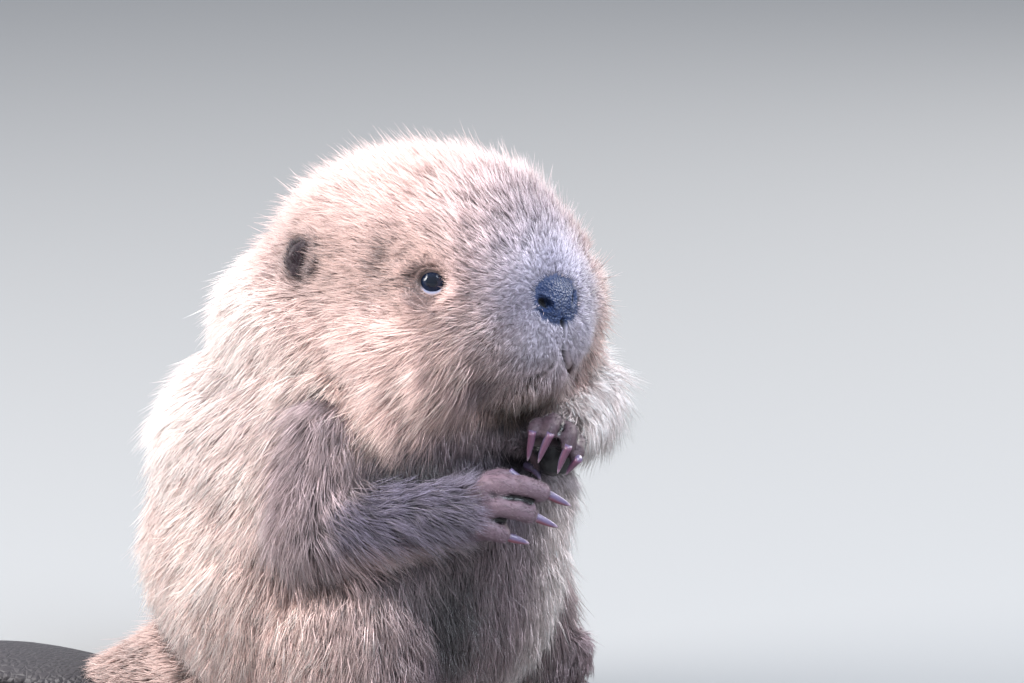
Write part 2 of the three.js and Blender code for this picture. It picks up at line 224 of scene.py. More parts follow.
def grown_solids():
    """All flesh solids in one loose mesh, each a little too large."""
    parts = []
    for name in FLESH:
        work = bmesh.new()
        work.from_mesh(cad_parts[name].data)
        bmesh.ops.remove_doubles(work, verts=work.verts, dist=1e-6)
        bmesh.ops.triangulate(work, faces=work.faces)
        loose = bpy.data.meshes.new(name + "_loose")
        work.to_mesh(loose)
        work.free()
        spots, sides = arrays_of(loose)
        bpy.data.meshes.remove(loose)
        parts.append((spots + normals_of(spots, sides) * GROWTH, sides))
    return mesh_of("grown_solids", *joined(parts))


def melted(piece):
    """The piece remeshed as one closed surface, and finer where the face needs it."""
    remesh = piece.modifiers.new("melt", "REMESH")
    remesh.mode = "VOXEL"
    remesh.voxel_size = VOXEL * MM
    done = piece.evaluated_get(bpy.context.evaluated_depsgraph_get()).to_mesh()
    work = bmesh.new()
    work.from_mesh(done)
    spots = [(Vector(place * MM), (reach * MM) ** 2) for place, reach in FINE_SPOTS]
    marked = set()
    for face in work.faces:
        centre = face.calc_center_median()
        if any((centre - place).length_squared < reach for place, reach in spots):
            marked.update(face.edges)
    bmesh.ops.subdivide_edges(work, edges=list(marked), cuts=1, use_grid_fill=True)
    bmesh.ops.triangulate(work, faces=work.faces)
    mesh = bpy.data.meshes.new("melted")
    work.to_mesh(mesh)
    work.free()
    bpy.data.objects.remove(piece)
    arrays = arrays_of(mesh)
    bpy.data.meshes.remove(mesh)
    return arrays


def nearest_nodes(points):
    """For each point the number, in FLESH, of the CAD node that is nearest to it."""
    solids = [arrays_of(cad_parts[name].data) for name in FLESH]
    owners = np.repeat(np.arange(len(FLESH)), [len(sides) for _, sides in solids])
    spots, sides = joined(solids)
    tree = BVHTree.FromPolygons(spots.tolist(), sides.tolist())
    return owners[[tree.find_nearest(point)[2] for point in points.tolist()]]


# -------------------- what the coat is like, place by place

# For each node: how deep the coat is, how long its hairs are and how wide, how far they stand up in
# degrees, how many there are to a square millimetre, and how far their tips are drawn together in
# locks, from 0 to 1. Lengths in millimetres.
COAT = {
    "head": (6.5, 11.0, 0.21, 26, 3.2, 0.22),
    "nose": (0.0, 1.0, 0.20, 20, 0.0, 0.00),
    "neck": (8.0, 15.0, 0.27, 20, 2.1, 0.34),
    "trunk": (9.5, 19.0, 0.31, 17, 1.7, 0.40),
    "tail_base": (5.0, 11.0, 0.32, 16, 1.6, 0.30),
    "tail_paddle": (0.0, 1.0, 0.30, 10, 0.0, 0.00),
    "eye": (0.0, 1.6, 0.16, 14, 6.0, 0.05),
    "ear": (0.2, 2.6, 0.18, 22, 2.0, 0.15),
    "upper_arm": (8.5, 17.0, 0.28, 18, 2.0, 0.46),
    "forearm": (6.0, 14.0, 0.25, 22, 2.5, 0.44),
    "hand": (0.2, 1.6, 0.13, 13, 1.8, 0.10),
    "thigh": (8.5, 16.0, 0.31, 17, 1.6, 0.42),
    "shank": (3.5, 7.0, 0.30, 18, 1.8, 0.30),
    "foot": (0.1, 1.8, 0.20, 14, 1.4, 0.10),
}


def kind_of(name):
    """A node's name without its side."""
    for side in SIDES:
        name = name.removesuffix("_" + side)
    return name


KINDS = np.array([kind_of(name) for name in FLESH])


def distance(points, place):
    """How far each point is from a place."""
    return np.linalg.norm(points - place, axis=1)


def near(points, place, low, high):
    """1 close to a place and 0 far from it."""
    return fade(low, high, distance(points, place))


def paired(left, back, up):
    """A place on the head and its twin on the other side."""
    return [on_head(turn * left, back, up) for turn in (-1.0, 1.0)]


def near_any(points, places, low, high):
    """1 close to any of the places and 0 far from them all."""
    return np.max([near(points, place, low, high) for place in places], axis=0)


def throat_share(points):
    """1 on the throat, below a line that sinks from the chin to the corner of the cheek."""
    left, back, up = head_place(points).T
    edge = -40.0 - 8.0 * step(25.0, 48.0, np.abs(left))
    front = fade(-22.0, -6.0, back)
    return fade(-6.0, 1.0, up - edge) * step(-82.0, -66.0, up) * front


def coat_sizes(points, kinds):
    """Columns of depth, length, width, lift, crowd and lock for every point of the skin."""
    sizes = np.array([COAT[kind] for kind in kinds])
    left, back, up = head_place(points).T
    on_face = kinds == "head"
    muzzle = near(points, NOSE, 17.0, 44.0) * on_face
    eyes = near_any(points, EYES.values(), 6.5, 20.0) * on_face
    ears = near_any(points, paired(*EAR_FRONT), 5.0, 12.0) * on_face
    cheek = step(20.0, 34.0, np.abs(left)) * fade(-16.0, 4.0, up) * on_face
    ruff = cheek * fade(-34.0, -18.0, up)
    throat = throat_share(points) * np.isin(kinds, ("head", "neck", "trunk"))
    crown = step(8.0, 30.0, up) * step(-34.0, -8.0, back) * on_face
    belly = (kinds == "trunk") * fade(-75.0, -35.0, points[:, 1])
    for share, target in (
        (cheek, (7.5, 14.5, 0.21, 21, 3.2, 0.28)),
        (ruff, (7.0, 17.0, 0.22, 26, 3.0, 0.40)),
        (crown, (6.5, 12.5, 0.21, 34, 3.5, 0.16)),
        (belly, (6.0, 12.5, 0.28, 16, 2.0, 0.36)),
        (ears, (4.0, 5.0, 0.22, 16, 4.0, 0.20)),
        (muzzle, (0.9, 3.1, 0.19, 25, 6.0, 0.32)),
        (throat, (6.0, 9.0, 0.24, 18, 2.2, 0.30)),
        (eyes, (0.2, 2.6, 0.19, 20, 15.0, 0.05)),
    ):
        sizes = mix(sizes, np.array(target), share[:, None])
    return sizes


def towards(start, end):
    """The way from one node to another."""
    return unit(middle(end) - middle(start))


def coat_flow(points, kinds):
    """The way the hairs lie at every point, before it is laid along the skin."""
    up = head_place(points)[:, 2]
    flow = np.tile(np.array([0.0, 0.60, -1.0]), (len(points), 1))
    front = (kinds == "trunk") * fade(-80.0, -10.0, points[:, 1])
    flow[:, 1] -= 0.55 * front
    face = unit(points - NOSE) + 0.30 * BACK
    face += np.outer(fade(-30.0, 15.0, up), [0.0, 0.0, -0.6])
    for eye in EYES.values():
        face += unit(points - eye) * (4.5 * near(points, eye, 8.0, 17.0))[:, None]
    flow = np.where((kinds == "head")[:, None], face, flow)
    for side in SIDES:
        here = points @ EYE_LINE < 0 if side == "right" else points @ EYE_LINE >= 0
        ways = {
            "upper_arm": 0.6 * towards(f"upper_arm_{side}", f"forearm_{side}") + [0.0, 0.45, -0.8],
            "forearm": towards(f"forearm_{side}", f"hand_{side}") + [0.0, 0.15, -0.55],
            "hand": towards(f"hand_{side}", f"front_claw_{side}_3"),
            "thigh": [0.0, -0.1, -1.0],
            "shank": [0.0, 0.3, -1.0],
            "foot": [0.0, -1.0, 0.0],
            "tail_base": [0.0, 1.0, -0.3],
            "tail_paddle": [0.0, 1.0, 0.0],
            "ear": 0.6 * UP + 0.5 * BACK,
        }
        for kind, way in ways.items():
            flow[(kinds == kind) & here] = way
    return unit(flow)


# -------------------- pressing the skin into shape

TOUCHING = 0.35  # what is no higher than this rests on the floor


def floored(points):
    """What has sunk below the floor, or nearly touches it, lies flat on it."""
    points[points[:, 2] < TOUCHING, 2] = 0.0
    return points


def drawn_in(points, faces, neighbours, depth):
    """The skin moved in from the tips of the coat to the roots of the hairs."""
    ROUNDS = 4
    for _ in range(ROUNDS):
        inward = -relax(normals_of(points, faces), neighbours, 6)
        points = points + unit(inward) * (depth / ROUNDS)[:, None]
    return points


CREASE_ROUNDS, NOTCH_ROUNDS = 12, 70  # from the crease between two fingers to that under the cheek


def hollows(points, faces, neighbours, rounds=CREASE_ROUNDS):
    """How deep each point lies in a crease; more rounds find wider ones. Also the normals."""
    normals = relax(normals_of(points, faces), neighbours, 2)
    return np.einsum("ij,ij->i", relax(points, neighbours, rounds) - points, normals), normals


def filled(points, neighbours):
    """The skin eased out round the eyes, so that they lie in no dish, and round the nose."""
    ring = near_any(points, EYES.values(), 15.0, 23.0) * (1.0 - near_any(points, EYES.values(), 5.0, 8.0))
    points = mix(points, relax(points, neighbours, 260, 0.8), ring[:, None])
    return mix(points, relax(points, neighbours, 60, 0.8), near(points, NOSE, 9.0, 17.0)[:, None])


EYE_OPEN = (40.0, 31.5)  # half the opening of the lids, along and across, in degrees
LID, LID_GAP = 0.7, 0.12  # how thick the rim of the lids is, and how far off the eyeball
SUNK = 0.9  # how far the skin in the opening lies inside the eyeball


def lidded(points, side):
    """The skin round an eye pressed into lids, and drawn back behind the ball between them."""
    axis = eye_axis(side)
    along = unit(np.cross(UP, axis))
    across = np.cross(axis, along)
    away = points - EYES[side]
    far = distance(points, EYES[side])
    angle = np.degrees(np.arccos(np.clip(away @ axis / far, -1.0, 1.0)))
    turn = np.arctan2(away @ across, away @ along)
    opening = 1.0 / np.hypot(np.cos(turn) / EYE_OPEN[0], np.sin(turn) / EYE_OPEN[1])
    reach = angle / opening
    rim = EYE_RADIUS + LID * np.exp(-(((reach - 1.20) / 0.22) ** 2)) + LID_GAP
    lids = np.where(reach < 1.5, np.clip(far, rim, rim + 0.4), np.maximum(far, rim))
    radius = mix(EYE_RADIUS - SUNK, lids, step(0.97, 1.07, reach))
    share = fade(9.0, 12.0, far) * (angle < 88.0)
    return EYES[side] + away * (mix(far, radius, share) / far)[:, None]


NOSTRIL = (7.2, 0.8)  # to the side and up from the middle of the nose
NOSTRIL_DEPTH, NOSTRIL_RIM = 2.8, 0.45
CLEFT_DEPTH, CLEFT_HALF = 2.2, 1.05
# The cleft on one side, from the nose down and back along the lips: to the side and up.
CLEFT = [(0.0, -6.5), (0.0, -13.5), (1.2, -17.5), (3.6, -22.5), (8.0, -26.0), (11.5, -26.8)]
SWELLINGS = (  # places beside the midline, how wide they are and how far they stand out
    ((11.0, -54.0, -14.0), 8.0, 2.6),  # the whisker pad
    ((21.0, -42.0, -25.0), 6.5, -2.4),  # the hollow between the pad and the cheek
    ((13.0, -47.0, 13.0), 8.0, -2.2),  # the side of the bridge of the nose
    ((0.0, -55.0, 10.0), 7.0, 1.4),  # the bridge itself
    ((6.0, -54.0, -31.0), 6.5, 1.8),  # the chin
)
NOSE_TIP = (0.0, -65.0, 1.0)  # the middle of the pad, which is blunt
PAD_SET_BACK, PAD_REACH = 3.4, 12.0  # how far the tip is pressed back, and how far round


def path_distance(x, y, path):
    """How far places in a plane are from a broken line."""
    best = np.full(len(x), 1e9)
    for (x0, y0), (x1, y1) in zip(path[:-1], path[1:]):
        dx, dy = x1 - x0, y1 - y0
        t = np.clip(((x - x0) * dx + (y - y0) * dy) / (dx * dx + dy * dy), 0.0, 1.0)
        best = np.minimum(best, np.hypot(x - x0 - t * dx, y - y0 - t * dy))
    return best


def nose_place(points):
    """Places as (left, back, up) from the middle of the nose."""
    return (head_place(points) - head_place(NOSE[None])).T


def nostril_reach(points):
    """How far places are from the middle of a slanting nostril, whose edge is at 1."""
    left, back, up = nose_place(points)
    side, height = np.abs(left) - NOSTRIL[0], up - NOSTRIL[1]
    slant, across = side * 0.75 + height * 0.66, height * 0.75 - side * 0.66
    return np.hypot(slant / 2.3, across / 1.5) + 9.0 * step(3.0, 9.0, back)


def cleft_place(points):
    """How far places are from the cleft of the lips, and 1 on the front of the muzzle."""
    left, back, up = nose_place(points)
    front = fade(3.0, 10.0, back) * fade(9.0, 15.0, np.abs(left))
    return path_distance(np.abs(left), up, CLEFT), front


def muzzled(points, normals):
    """The forms of the muzzle, its nostrils, and the cleft from the nose down to the lips."""
    push = np.zeros(len(points))
    for place, size, height in SWELLINGS:
        places = paired(*place)[: 1 if place[0] == 0.0 else 2]
        for centre in places:
            push += height * np.exp(-(((points - centre) ** 2).sum(axis=1)) / (size * size))
    cleft, front = cleft_place(points)
    hole = nostril_reach(points)
    push -= NOSTRIL_DEPTH * np.exp(-(hole ** 4))
    push += NOSTRIL_RIM * np.exp(-(((hole - 1.7) / 0.45) ** 2))
    push -= CLEFT_DEPTH * np.exp(-((cleft / CLEFT_HALF) ** 2)) * front
    pad_back = PAD_SET_BACK * np.exp(-(((points - on_head(*NOSE_TIP)) / PAD_REACH) ** 2).sum(axis=1))
    return points + normals * push[:, None] + pad_back[:, None] * BACK


def lip_line(points):
    """1 in the cleft of the lips."""
    cleft, front = cleft_place(points)
    return fade(0.6, 1.5, cleft) * front


def nose_pad(points, low=0.55, high=1.3):
    """1 on the bare pad of the nose."""
    left, back, up = nose_place(points)
    edge = (np.abs(left) / 10.6) ** 2.4 + (np.abs(up - 1.4) / 8.2) ** 2.4
    return fade(low, high, edge) * fade(2.0, 6.0, back)


# -------------------- colours of the coat and the bare skin

PEARL = colour("#f3e2de")
ROSE = colour("#f0d1c8")
FAWN = colour("#cdaea9")
UMBER = colour("#6b5349")
OLIVE = colour("#6b5a42")
LILAC = colour("#bcb8c8")
HEATHER = colour("#6d6577")
DUSK = colour("#5a5567")
# Partly painted reflection: the nose pad's own dark slate, made bluer as the sky mirrored in it.
SLATE = colour("#1a2a4c")
MAUVE = colour("#5f4c55")
PLUM = colour("#2b1c21")
SOOT = colour("#2c282b")
JET = colour("#0d0c0f")
# The lower lid's rim, partly its own pale skin and partly painted sheen of the sky on it.
WET_RIM_SHEEN = colour("#868ca6")
BODY = ("neck", "trunk")


def body_washes(points, kinds):
    """Pale above and behind, partly painted light; a dark belly, partly painted shade; painted shade under
    the chin and in the right thigh's fold; painted light on the left of the breast.
    """
    x, y, height = points.T
    front = fade(-85.0, -45.0, y)
    trunk = kinds == "trunk"
    fold = path_distance(x, y, [(-36.0, -118.0), (-34.0, -110.0)])
    return [
        # Partly painted light: the back and shoulders paler where light falls from above and behind.
        (PEARL, 0.80 * step(50.0, 140.0, height) * step(-90.0, -20.0, y)),
        (FAWN, 0.30 * (0.5 + 0.5 * ripple(points, 30.0, 3))),
        # Partly painted shade: the belly darker where it faces away from the light.
        (HEATHER, 0.70 * front * trunk),
        # Painted shade under the chin, on the top of the breast.
        (DUSK, 0.62 * near(points, on_head(0.0, -38.0, -56.0), 18.0, 36.0) * np.isin(kinds, BODY)),
        (FAWN, 0.55 * fade(15.0, 70.0, height)),
        # Painted light: the left of the belly paler where light comes from behind on that side.
        (PEARL, 0.90 * step(-12.0, 12.0, x) * front * trunk),
        # Painted shade in the fold between the belly and the right thigh.
        (SOOT, 0.90 * fade(4.0, 15.0, fold) * fade(70.0, 86.0, height) * (y < -90.0)),
    ]


def limb_washes(points, kinds):
    """The limbs, hands and tail; the right arm is much darker than the left, partly by painted shade on it
    and by painted light on the left arm; painted shade on the left hand and on the front of the thighs.
    """
    x, y, height = points.T
    right = fade(-6.0, 22.0, x)
    under = fade(-7.0, 1.0, height - middle("forearm_right")[2])
    washes = (
        # Partly painted shade: the right arm darker than the left.
        ("upper_arm", HEATHER, 0.55 * right),
        ("forearm", HEATHER, 0.92 * right),
        ("forearm", FAWN, 0.75 * right * under),
        # Painted light: the left arm pale where light falls on it from behind.
        ("upper_arm", PEARL, 0.95 * (1.0 - right)),
        ("forearm", PEARL, 0.95 * (1.0 - right)),
        # Painted shade on the front of the thighs.
        ("thigh", HEATHER, 0.60 * fade(-112.0, -66.0, y)),
        ("shank", HEATHER, 0.6),
        ("hand", MAUVE, 1.0),
        # Painted shade on the left hand.
        ("hand", PLUM, 0.58 * near(points, middle("hand_left"), 13.0, 19.0)),
        ("tail_base", UMBER, 0.50),
        ("foot", SOOT, 0.88),
        ("tail_paddle", SOOT, 1.0),
    )
    return [(wash, share * (kinds == kind)) for kind, wash, share in washes]


def head_washes(points, kinds):
    """Pale cheeks, a brown band from eye to ear, a lilac muzzle, painted shade in the hollows beside it,
    and a throat darkened partly by painted shade.
    """
    left, back, up = head_place(points).T
    beside = np.abs(left)
    head = kinds == "head"
    face = step(-62.0, -20.0, back)
    band = path_distance(back, up, [(-31.5, 9.0), (17.0, 11.0)])
    return [
        (FAWN, (0.43 + 0.31 * step(-8.0, 10.0, up)) * head),
        (UMBER, 0.17 * step(-8.0, 10.0, up) * head),
        (FAWN, 0.30 * step(20.0, 32.0, beside) * fade(14.0, 28.0, up) * head * face),
        (UMBER, 0.58 * fade(5.0, 19.0, band) * (beside > 20.0) * head),
        (UMBER, 0.25 * near_any(points, EYES.values(), 6.4, 9.5)),
        (ROSE, 0.55 * near_any(points, paired(29.0, -33.0, 11.0), 2.5, 6.5) * head),
        (LILAC, 0.45 * near(points, on_head(0.0, -42.0, 20.0), 0.0, 38.0) * head),
        (LILAC, 0.85 * near(points, NOSE, 12.0, 38.0) * head),
        (HEATHER, 0.20 * near(points, NOSE - 12.0 * UP, 10.0, 26.0) * head),
        (HEATHER, 0.45 * near(points, on_head(0.0, -58.0, 7.0), 3.0, 13.0) * head),
        # Painted shade in the hollows between the whisker pads and the cheeks.
        (DUSK, 0.55 * near_any(points, paired(21.0, -42.0, -27.0), 2.0, 12.0) * head),
        (LILAC, 0.6 * near_any(points, paired(11.0, -56.0, -15.0), 3.0, 10.0) * head),
        (OLIVE, 0.80 * near(points, on_head(0.0, -47.0, -40.0), 8.0, 18.0) * head),
        # Partly painted shade: the throat darker under the chin and the cheeks.
        (DUSK, 0.66 * throat_share(points) * (head | np.isin(kinds, BODY))),
        (HEATHER, 0.55 * near_any(points, paired(15.0, -54.0, -1.0), 4.0, 15.0) * head),
    ]


def shade_washes(points, kinds):
    """The dark ears, painted shade between the arms, the cheeks and the breast, and painted light on the
    body beside the left arm.
    """
    head, body = kinds == "head", np.isin(kinds, BODY)
    under_cheek = body | (head & (head_place(points)[:, 2] < -44.0))
    return [
        (PLUM, 1.0 * (kinds == "ear")),
        (PLUM, 0.85 * near_any(points, [middle(f"ear_{side}") for side in SIDES], 7.0, 10.0) * head),
        # Painted light on the body beside the left arm, where light falls from behind.
        (PEARL, 0.75 * near(points, middle("upper_arm_left"), 20.0, 55.0) * body),
        # Painted shade on the body between the hands.
        (SOOT, 0.80 * near(points, middle("hand_left"), 13.0, 26.0) * body),
        # Painted shadow under the right cheek, above the right forearm.
        (SOOT, 0.85 * near(points, middle("forearm_right") + 14.0 * UP, 12.0, 28.0) * under_cheek),
    ]


def coat_colour(points, kinds):
    """The colour of the tips of the coat, laid on in washes."""
    tint = np.tile(ROSE, (len(points), 1))
    for washes in (body_washes, limb_washes, head_washes, shade_washes):
        for wash, share in washes(points, kinds):
            tint = mix(tint, wash, np.clip(share, 0.0, 1.0)[:, None])
    return tint


FINGER_OVER_CLAW = 6.0  # how far a left finger's last joint is above the middle of its claw
PALM_TOP = (116.0, 119.0)  # the heights between which the black of the left palm ends


def bare_colour(points, kinds, tint, hollow):
    """The same colours with what bare skin shows: nose pad, lids, lips, creases and palm; the nostrils and
    the creases of the hands are painted shade.
    """
    pad = nose_pad(points)
    # The nose pad, partly its own dark colour and partly painted reflection of the sky.
    tint = mix(tint, SLATE, nose_pad(points, 0.8, 2.0)[:, None])
    # Painted shade in the nostrils, and the dark cleft of the lips.
    dark = np.maximum(fade(0.75, 1.15, nostril_reach(points)), 0.85 * lip_line(points))
    for eye in EYES.values():
        off_ball = distance(points, eye)
        below = fade(-2.5, -0.5, (points - eye)[:, 2])
        lid = fade(EYE_RADIUS + 0.9, EYE_RADIUS + 1.6, off_ball)
        dark = np.maximum(dark, lid * mix(0.80, 0.15, below))
        # Partly painted sheen: the lower lid's rim made pale and blue.
        rim = fade(EYE_RADIUS + 0.5, EYE_RADIUS + 1.1, off_ball)
        tint = mix(tint, WET_RIM_SHEEN, (rim * below)[:, None])
    tint = mix(tint, JET, dark[:, None])
    # Painted shade in the creases of the hands.
    hands = (kinds == "hand") * step(0.03, 0.22, hollow)
    fingers = [middle(f"front_claw_left_{number}") + FINGER_OVER_CLAW * UP for number in range(1, 6)]
    palm = near(points, middle("hand_left") - 3.0 * UP, 12.0, 15.0)
    palm = palm * (1.0 - near_any(points, fingers, 4.6, 6.0))
    palm *= (kinds == "hand") * fade(*PALM_TOP, points[:, 2])
    bare = np.maximum(hands, palm)
    return mix(tint, JET, bare[:, None]), pad, bare


# -------------------- materials

class Nodes:
    """A material with one principled shader, and short calls to add to it."""

    def __init__(self, name, **values):
        self.material = bpy.data.materials.new(name)
        self.material.use_nodes = True
        self.tree = self.material.node_tree
        self.shader = self.tree.nodes["Principled BSDF"]
        for socket, value in values.items():
            self.shader.inputs[socket.replace("_", " ")].default_value = value

    def add(self, kind, **values):
        node = self.tree.nodes.new("ShaderNode" + kind)
        for key, value in values.items():
            if hasattr(node, key):
                setattr(node, key, value)
            else:
                node.inputs[key.replace("_", " ")].default_value = value
        return node

    def link(self, source, target):
        self.tree.links.new(source, target)

    def attribute(self, name, output="Fac"):
        return self.add("Attribute", attribute_name=name).outputs[output]

    def texture(self, kind, output, **values):
        place = self.add("TexCoord")
        texture = self.add(kind, **values)
        self.link(place.outputs["Object"], texture.inputs["Vector"])
        return texture.outputs[output]

    def noise(self, scale, detail=3.0, roughness=0.6):
        return self.texture("TexNoise", "Fac", Scale=scale, Detail=detail, Roughness=roughness)

    def cells(self, scale, feature="F1"):
        return self.texture("TexVoronoi", "Distance", feature=feature, Scale=scale)

    def times(self, a, b):
        node = self.add("Math", operation="MULTIPLY")
        self.link(a, node.inputs[0])
        self.link(b, node.inputs[1])
        return node.outputs["Value"]

    def toned(self, scale, detail, low, high):
        """The painted colour, made darker and lighter from place to place."""
        change = self.add("MapRange", To_Min=low, To_Max=high)
        self.link(self.noise(scale, detail), change.inputs["Value"])
        tint = self.add("VectorMath", operation="SCALE")
        self.link(self.attribute("tone", "Color"), tint.inputs[0])
        self.link(change.outputs["Result"], tint.inputs["Scale"])
        self.link(tint.outputs["Vector"], self.shader.inputs["Base Color"])

    def bump(self, height, distance, strength=1.0, below=None):
        """Relief that is distance deep, in millimetres, over the relief below it."""
        node = self.add("Bump", Distance=distance * MM, Strength=strength)
        self.link(height, node.inputs["Height"])
        if below is not None:
            self.link(below, node.inputs["Normal"])
        return node.outputs["Normal"]


def skin_material():
    """Bare hide: pebbled on the nose, scaly on the tail."""
    nodes = Nodes("skin", Roughness=0.6, Specular_IOR_Level=0.4)
    nodes.toned(260.0, 4.0, 0.72, 1.25)
    nodes.link(nodes.attribute("rough"), nodes.shader.inputs["Roughness"])
    pebbles = nodes.times(nodes.cells(1150.0), nodes.attribute("pebbled"))
    scales = nodes.times(nodes.cells(330.0, "DISTANCE_TO_EDGE"), nodes.attribute("scaly"))
    fine = nodes.bump(nodes.noise(900.0, 5.0, 0.7), 0.25, 0.8)
    rough = nodes.bump(pebbles, 0.9, 0.9, fine)
    nodes.link(nodes.bump(scales, 1.6, 1.0, rough), nodes.shader.inputs["Normal"])
    return nodes.material


def coat_material():
    nodes = Nodes("coat", Roughness=0.55, Specular_IOR_Level=0.3, Sheen_Weight=0.25, Sheen_Roughness=0.4)
    nodes.toned(700.0, 2.0, 0.86, 1.14)
    return nodes.material


def eye_material():
    nodes = Nodes("eyeball", Roughness=0.03, IOR=1.42)
    nodes.toned(1500.0, 4.0, 0.5, 1.5)
    return nodes.material


def claw_material():
    nodes = Nodes("claw_horn", Roughness=0.32, Specular_IOR_Level=0.5)
    nodes.toned(1100.0, 3.0, 0.8, 1.2)
    nodes.link(nodes.bump(nodes.noise(1600.0, 3.0), 0.12, 0.6), nodes.shader.inputs["Normal"])
    return nodes.material


# -------------------- making the skin

SKIN_TRIANGLES = 190000
OPEN_WEIGHT = 0.04  # how readily faces go where they can be seen, against 1 under the coat
BARE_KINDS = ("nose", "hand", "foot", "tail_paddle", "ear", "eye")
CREASE_GAIN = 2.8  # the creases of the hands are this much deeper than in the CAD


def thinned(points, faces, hidden):
    """The skin with fewer faces where the coat hides it."""
    piece = mesh_of("skin_dense", points, faces)
    group = piece.vertex_groups.new(name="hidden")
    for weight, chosen in ((1.0, hidden), (OPEN_WEIGHT, ~hidden)):
        group.add(np.flatnonzero(chosen).tolist(), weight, "REPLACE")
    thin = piece.modifiers.new("thin", "DECIMATE")
    thin.ratio = SKIN_TRIANGLES / len(faces)
    thin.vertex_group = "hidden"
    mesh = bpy.data.meshes.new_from_object(piece.evaluated_get(bpy.context.evaluated_depsgraph_get()))
    arrays = arrays_of(mesh)
    bpy.data.objects.remove(piece)
    bpy.data.meshes.remove(mesh)
    return arrays


points, faces = melted(grown_solids())
points = relax(points, neighbours_of(faces), 8)
_, back, up = head_place(points).T
face_front = (back < -22.0) & (up > -42.0)
seen = np.isin(KINDS[nearest_nodes(points)], BARE_KINDS) | face_front
points, faces = thinned(points, faces, ~seen)
neighbours = neighbours_of(faces)
owner = nearest_nodes(points)
kinds = KINDS[owner]
fields = np.concatenate([coat_sizes(points, kinds), coat_flow(points, kinds)], axis=1)
fields = relax(fields, neighbours, 40, 0.7)
depth = fields[:, 0] * step(-2.0, 24.0, points[:, 2])
depth *= fade(0.6, 3.0, hollows(points, faces, neighbours, NOTCH_ROUNDS)[0])
points = drawn_in(points, faces, neighbours, depth)
points = filled(points, neighbours)
hollow, normals = hollows(points, faces, neighbours)
points -= normals * (CREASE_GAIN * np.maximum(hollow, 0.0) * (kinds == "hand"))[:, None]
for side in SIDES:
    points = lidded(points, side)
points = muzzled(points, relax(normals_of(points, faces), neighbours, 3))
points = floored(points)
normals = normals_of(points, faces)
tones = relax(coat_colour(points, kinds), neighbours, 4)
# palm also holds the painted shade in the creases of the hands.
bare_tones, pad, palm = bare_colour(points, kinds, tones, hollow)

skin = mesh_of("skin", points, faces, skin_material())
furred = step(1.0, 3.0, fields[:, 4]) * step(2.5, 8.0, fields[:, 1]) * (1.0 - pad) * (1.0 - palm)
furred *= ~np.isin(kinds, ("hand", "ear")) * (1.0 - 0.85 * near_any(points, EYES.values(), 15.0, 27.0))
paint(skin, "tone", mix(bare_tones, 0.30 * bare_tones ** 1.4, furred[:, None]))
paint(skin, "rough", mix(mix(0.62, 0.44, pad), 0.22, palm))
paint(skin, "pebbled", pad)
paint(skin, "scaly", relax((kinds == "tail_paddle").astype(float), neighbours, 3))
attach(skin, "root")
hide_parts(*[name for name in FLESH if not name.startswith("eye")])


# -------------------- the coat

# A hair is a thin closed spindle: a root, a ring of three points where it bends, and a tip.
STRANDS = 240000
PIECE_STRANDS = 32500  # six triangles each, so a piece stays under 200,000
HAIR_FACES = np.array([(0, 1 + (k + 1) % 3, 1 + k) for k in range(3)]
                      + [(1 + k, 1 + (k + 1) % 3, 4) for k in range(3)])
PATCH = 0.003  # a hair's own place on the coat's map
BEND = 0.42  # how far along it the ring is
KNEE_RISE, TIP_RISE = 0.16, -0.12  # how much steeper it is below and above the ring
ROOT_DEPTH, FLOOR_GAP = 0.3, 0.25
LOCK = 11  # about how many hairs lean together
# How hairs and locks stray. Angles are in degrees, the other spreads are shares.
SWAYS = ((8.0, 40.0, 11), (4.0, 13.0, 12))  # waves in the lie: angle, size, seed
YAW_SPREAD, LOCK_YAW_SPREAD = 14.0, 8.0
RISE_WAVE, RISE_SPREAD, LOCK_RISE_SPREAD = 0.12, 0.28, 3.0
RISE_RANGE = (3.0, 65.0)
LENGTH_SPREAD, LENGTH_RANGE, LOCK_LENGTH_SPREAD = 0.18, (0.45, 1.4), 0.08
PULL_SPREAD, KNEE_PULL = 0.3, 0.35
GUARD_SHARE, GUARD_FROM = 0.06, 6.0  # of the hairs longer than this, those that stand out
GUARD_LIFT, GUARD_LENGTH = math.radians(13.0), 1.3
LONGEST = 21.0
OPENING = 4.4  # no hair crosses the eye nearer than this to its axis
GLOW_SPREAD, GLOW_RANGE = 0.17, (0.5, 1.4)
DULL_SHARE, DULL = 0.06, 0.70
UNDERFUR, ROOT_SHADE = 0.36, 0.6  # how dark a hair is low down, and at its very root
SILVER = (1.55, 1.16)  # how much paler the tips are, of dark hairs and of pale ones
PALEST = 0.92


def hair_map():
    """Where the corners of a hair's faces lie in its patch, from -0.5 to 0.5."""
    cuts = np.linspace(-0.5, 0.5, 4)
    pairs = list(zip(cuts[:-1], cuts[1:]))
    low = [[((a + b) / 2.0, -0.5), (b, -0.1), (a, -0.1)] for a, b in pairs]
    high = [[(a, -0.1), (b, -0.1), ((a + b) / 2.0, 0.5)] for a, b in pairs]
    return np.array(low + high)


def scatter(crowd, count):
    """Roots for the hairs: a face for each and where it lies in it."""
    corners = points[faces]
    area = np.linalg.norm(np.cross(corners[:, 1] - corners[:, 0], corners[:, 2] - corners[:, 0]), axis=1)
    weight = area * crowd[faces].mean(axis=1)
    chosen = random.choice(len(faces), count, p=weight / weight.sum())
    share = random.random((count, 2))
    outside = share.sum(axis=1) > 1.0
    share[outside] = 1.0 - share[outside]
    return faces[chosen], np.column_stack([1.0 - share.sum(axis=1), share])


def carried(values, corners, share):
    """Values of the skin at the roots."""
    return np.einsum("nk,nk...->n...", share, values[corners])


